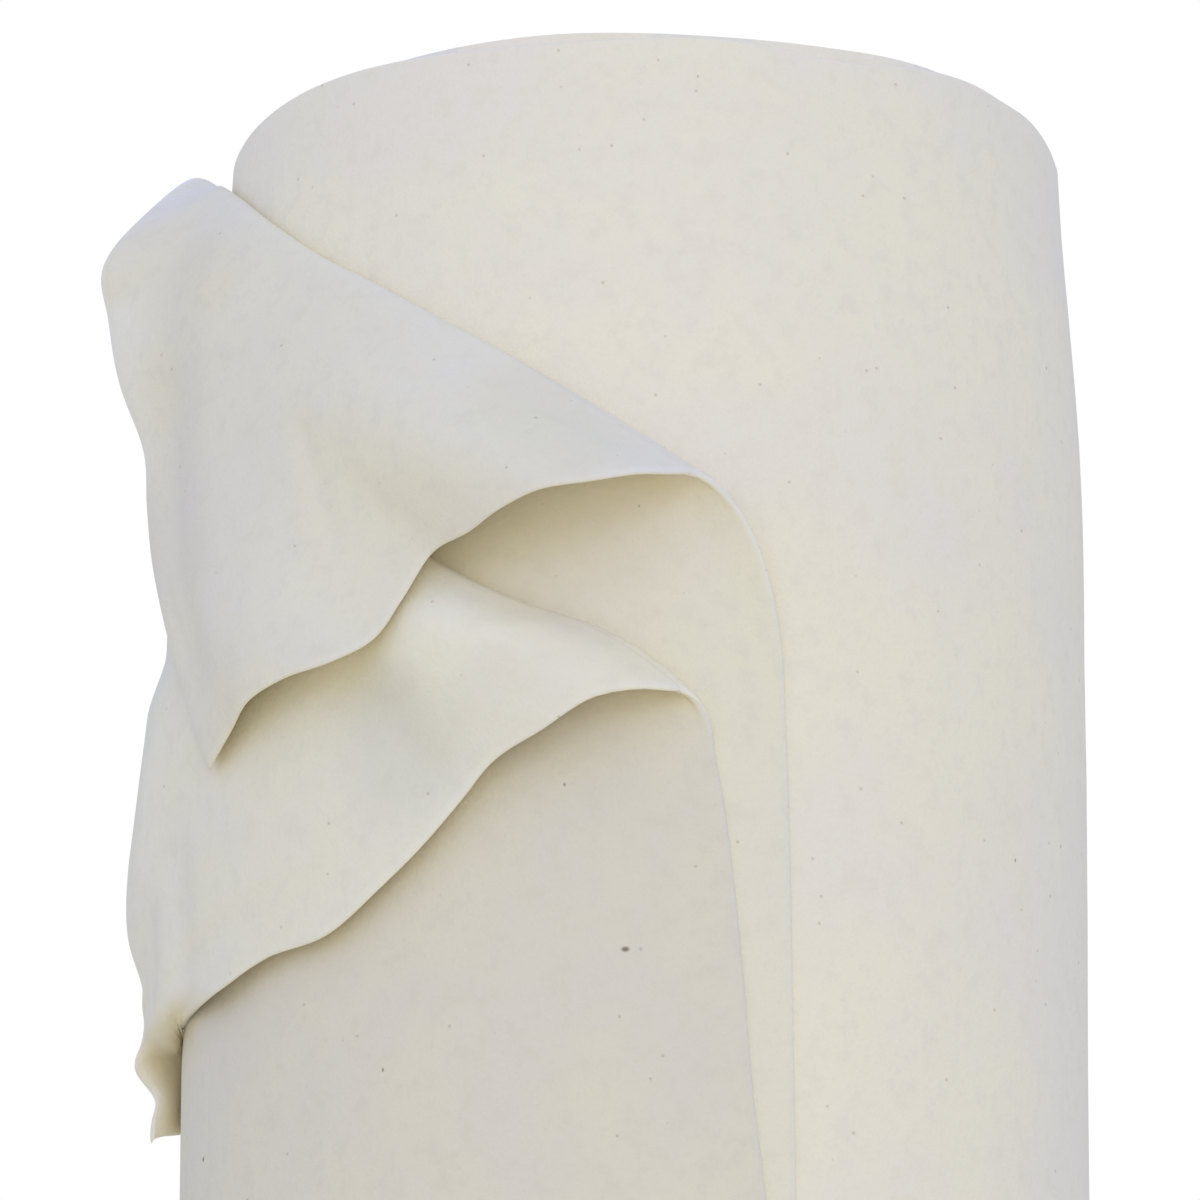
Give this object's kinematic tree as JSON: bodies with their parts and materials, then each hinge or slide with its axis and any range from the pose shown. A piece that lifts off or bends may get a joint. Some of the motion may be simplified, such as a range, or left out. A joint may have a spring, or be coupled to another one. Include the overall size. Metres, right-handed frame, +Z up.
{
  "type": "roll of quilt batting",
  "caption": "Tall soft roll of doubled cotton batting standing on its end, with its two free layers folded over at the top corner.",
  "frame": {"origin": "the roll's axis at its flat lower end, on the floor", "axes": "+Z up along the roll's axis, -Y towards the viewer, the side on which the free layers end, and +X to the viewer's right"},
  "size_m": [0.4058, 0.4131, 1.1581],
  "materials": {
    "batting": "matte needled natural cotton with small brown flecks"
  },
  "bodies": {
    "root": {"wound_roll": "batting", "under_layer": "batting", "outer_layer": "batting"}
  },
  "joints": []
}
